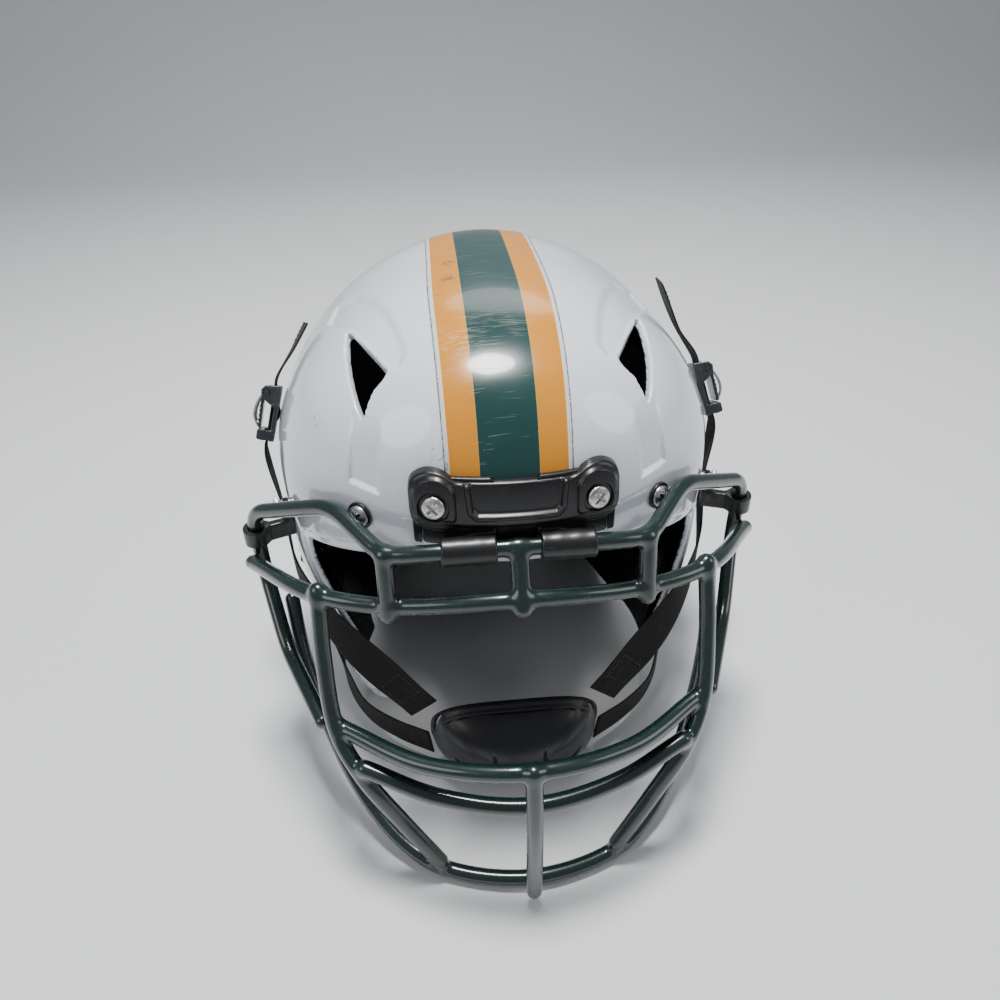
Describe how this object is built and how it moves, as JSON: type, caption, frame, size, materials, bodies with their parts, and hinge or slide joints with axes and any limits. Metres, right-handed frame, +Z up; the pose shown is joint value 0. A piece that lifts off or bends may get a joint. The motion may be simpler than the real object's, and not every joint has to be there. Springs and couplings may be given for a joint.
{
  "type": "american football helmet",
  "caption": "Hard shell football helmet with padding, swinging wire face mask, four-point buckled chin strap and chin cup.",
  "frame": {"origin": "middle of the footprint, on the surface the helmet rests on", "axes": "+Z up, the face looks along -Y, the wearer's left is +X"},
  "size_m": [0.2612, 0.3456, 0.2433],
  "materials": {
    "shell": "gloss white, scuffed",
    "mask_wire": "dark green dip coating, glossy",
    "bumper": "semi-gloss black",
    "steel": "bright steel",
    "clip": "satin black",
    "buckle": "smoked black",
    "webbing": "woven black",
    "chin_cup": "satin black",
    "padding": "matte black vinyl",
    "stripe": "gloss orange and green film"
  },
  "bodies": {
    "helmet": {"shell": "shell", "front_bumper": "bumper", "rear_bumper": "bumper", "front_bumper_screw_left": "steel", "front_bumper_screw_right": "steel", "rear_bumper_screw_left": "steel", "rear_bumper_screw_right": "steel", "temple_screw_left": "steel", "temple_screw_right": "steel", "brow_clip_left": "clip", "brow_clip_right": "clip", "upper_snap_post_left": "steel", "upper_snap_post_right": "steel", "upper_buckle_left": "buckle", "upper_buckle_right": "buckle", "lower_snap_post_left": "steel", "lower_snap_post_right": "steel", "lower_buckle_left": "buckle", "lower_buckle_right": "buckle", "upper_strap_left": "webbing", "upper_strap_right": "webbing", "lower_strap_left": "webbing", "lower_strap_right": "webbing", "chin_cup_shell": "chin_cup", "chin_cup_pad": "padding", "front_pad": "padding", "crown_pad": "padding", "back_pad": "padding", "side_pad_left": "padding", "side_pad_right": "padding", "jaw_pad_left": "padding", "jaw_pad_right": "padding", "inflation_valve": "clip", "stripe_decal": "stripe"},
    "mask": {"mask_perimeter_wire": "mask_wire", "mask_eye_wire": "mask_wire", "mask_upright_centre": "mask_wire", "mask_upright_left": "mask_wire", "mask_upright_right": "mask_wire", "mask_main_wire_left": "mask_wire", "mask_main_wire_right": "mask_wire", "mask_upper_mouth_wire": "mask_wire", "mask_lower_mouth_wire": "mask_wire", "mask_chin_wire": "mask_wire", "mask_centre_wire": "mask_wire", "side_clip_left": "clip", "side_clip_right": "clip"},
    "stud_left": {"quarter_turn_stud_left": "steel"},
    "upper_lever_left": {"upper_buckle_lever_left": "buckle"},
    "lower_lever_left": {"lower_buckle_lever_left": "buckle"},
    "stud_right": {"quarter_turn_stud_right": "steel"},
    "upper_lever_right": {"upper_buckle_lever_right": "buckle"},
    "lower_lever_right": {"lower_buckle_lever_right": "buckle"}
  },
  "joints": [
    {"name": "mask_swing", "type": "hinge", "parent": "helmet", "child": "mask", "pos_m": [0, -0.10818, 0.163], "axis": [-1, 0, 0], "range_deg": [0, 75]},
    {"name": "stud_turn_left", "type": "hinge", "parent": "helmet", "child": "stud_left", "pos_m": [0.10918, -0.02168, 0.134], "axis": [0.9359, -0.3523, 0.0018], "range_deg": [0, 90]},
    {"name": "stud_turn_right", "type": "hinge", "parent": "helmet", "child": "stud_right", "pos_m": [-0.10918, -0.02168, 0.134], "axis": [-0.9359, -0.3523, 0.0018], "range_deg": [0, 90]},
    {"name": "upper_lever_left", "type": "hinge", "parent": "helmet", "child": "upper_lever_left", "pos_m": [0.12008, 0.02322, 0.1761], "axis": [-0.1856, -0.8943, 0.407], "range_deg": [0, 80]},
    {"name": "upper_lever_right", "type": "hinge", "parent": "helmet", "child": "upper_lever_right", "pos_m": [-0.12008, 0.02322, 0.1761], "axis": [-0.1856, 0.8943, -0.407], "range_deg": [0, 80]},
    {"name": "lower_lever_left", "type": "hinge", "parent": "helmet", "child": "lower_lever_left", "pos_m": [0.11866, 0.05097, 0.05696], "axis": [0.2922, -0.3452, 0.8919], "range_deg": [0, 80]},
    {"name": "lower_lever_right", "type": "hinge", "parent": "helmet", "child": "lower_lever_right", "pos_m": [-0.11866, 0.05097, 0.05696], "axis": [0.2922, 0.3452, -0.8919], "range_deg": [0, 80]}
  ]
}
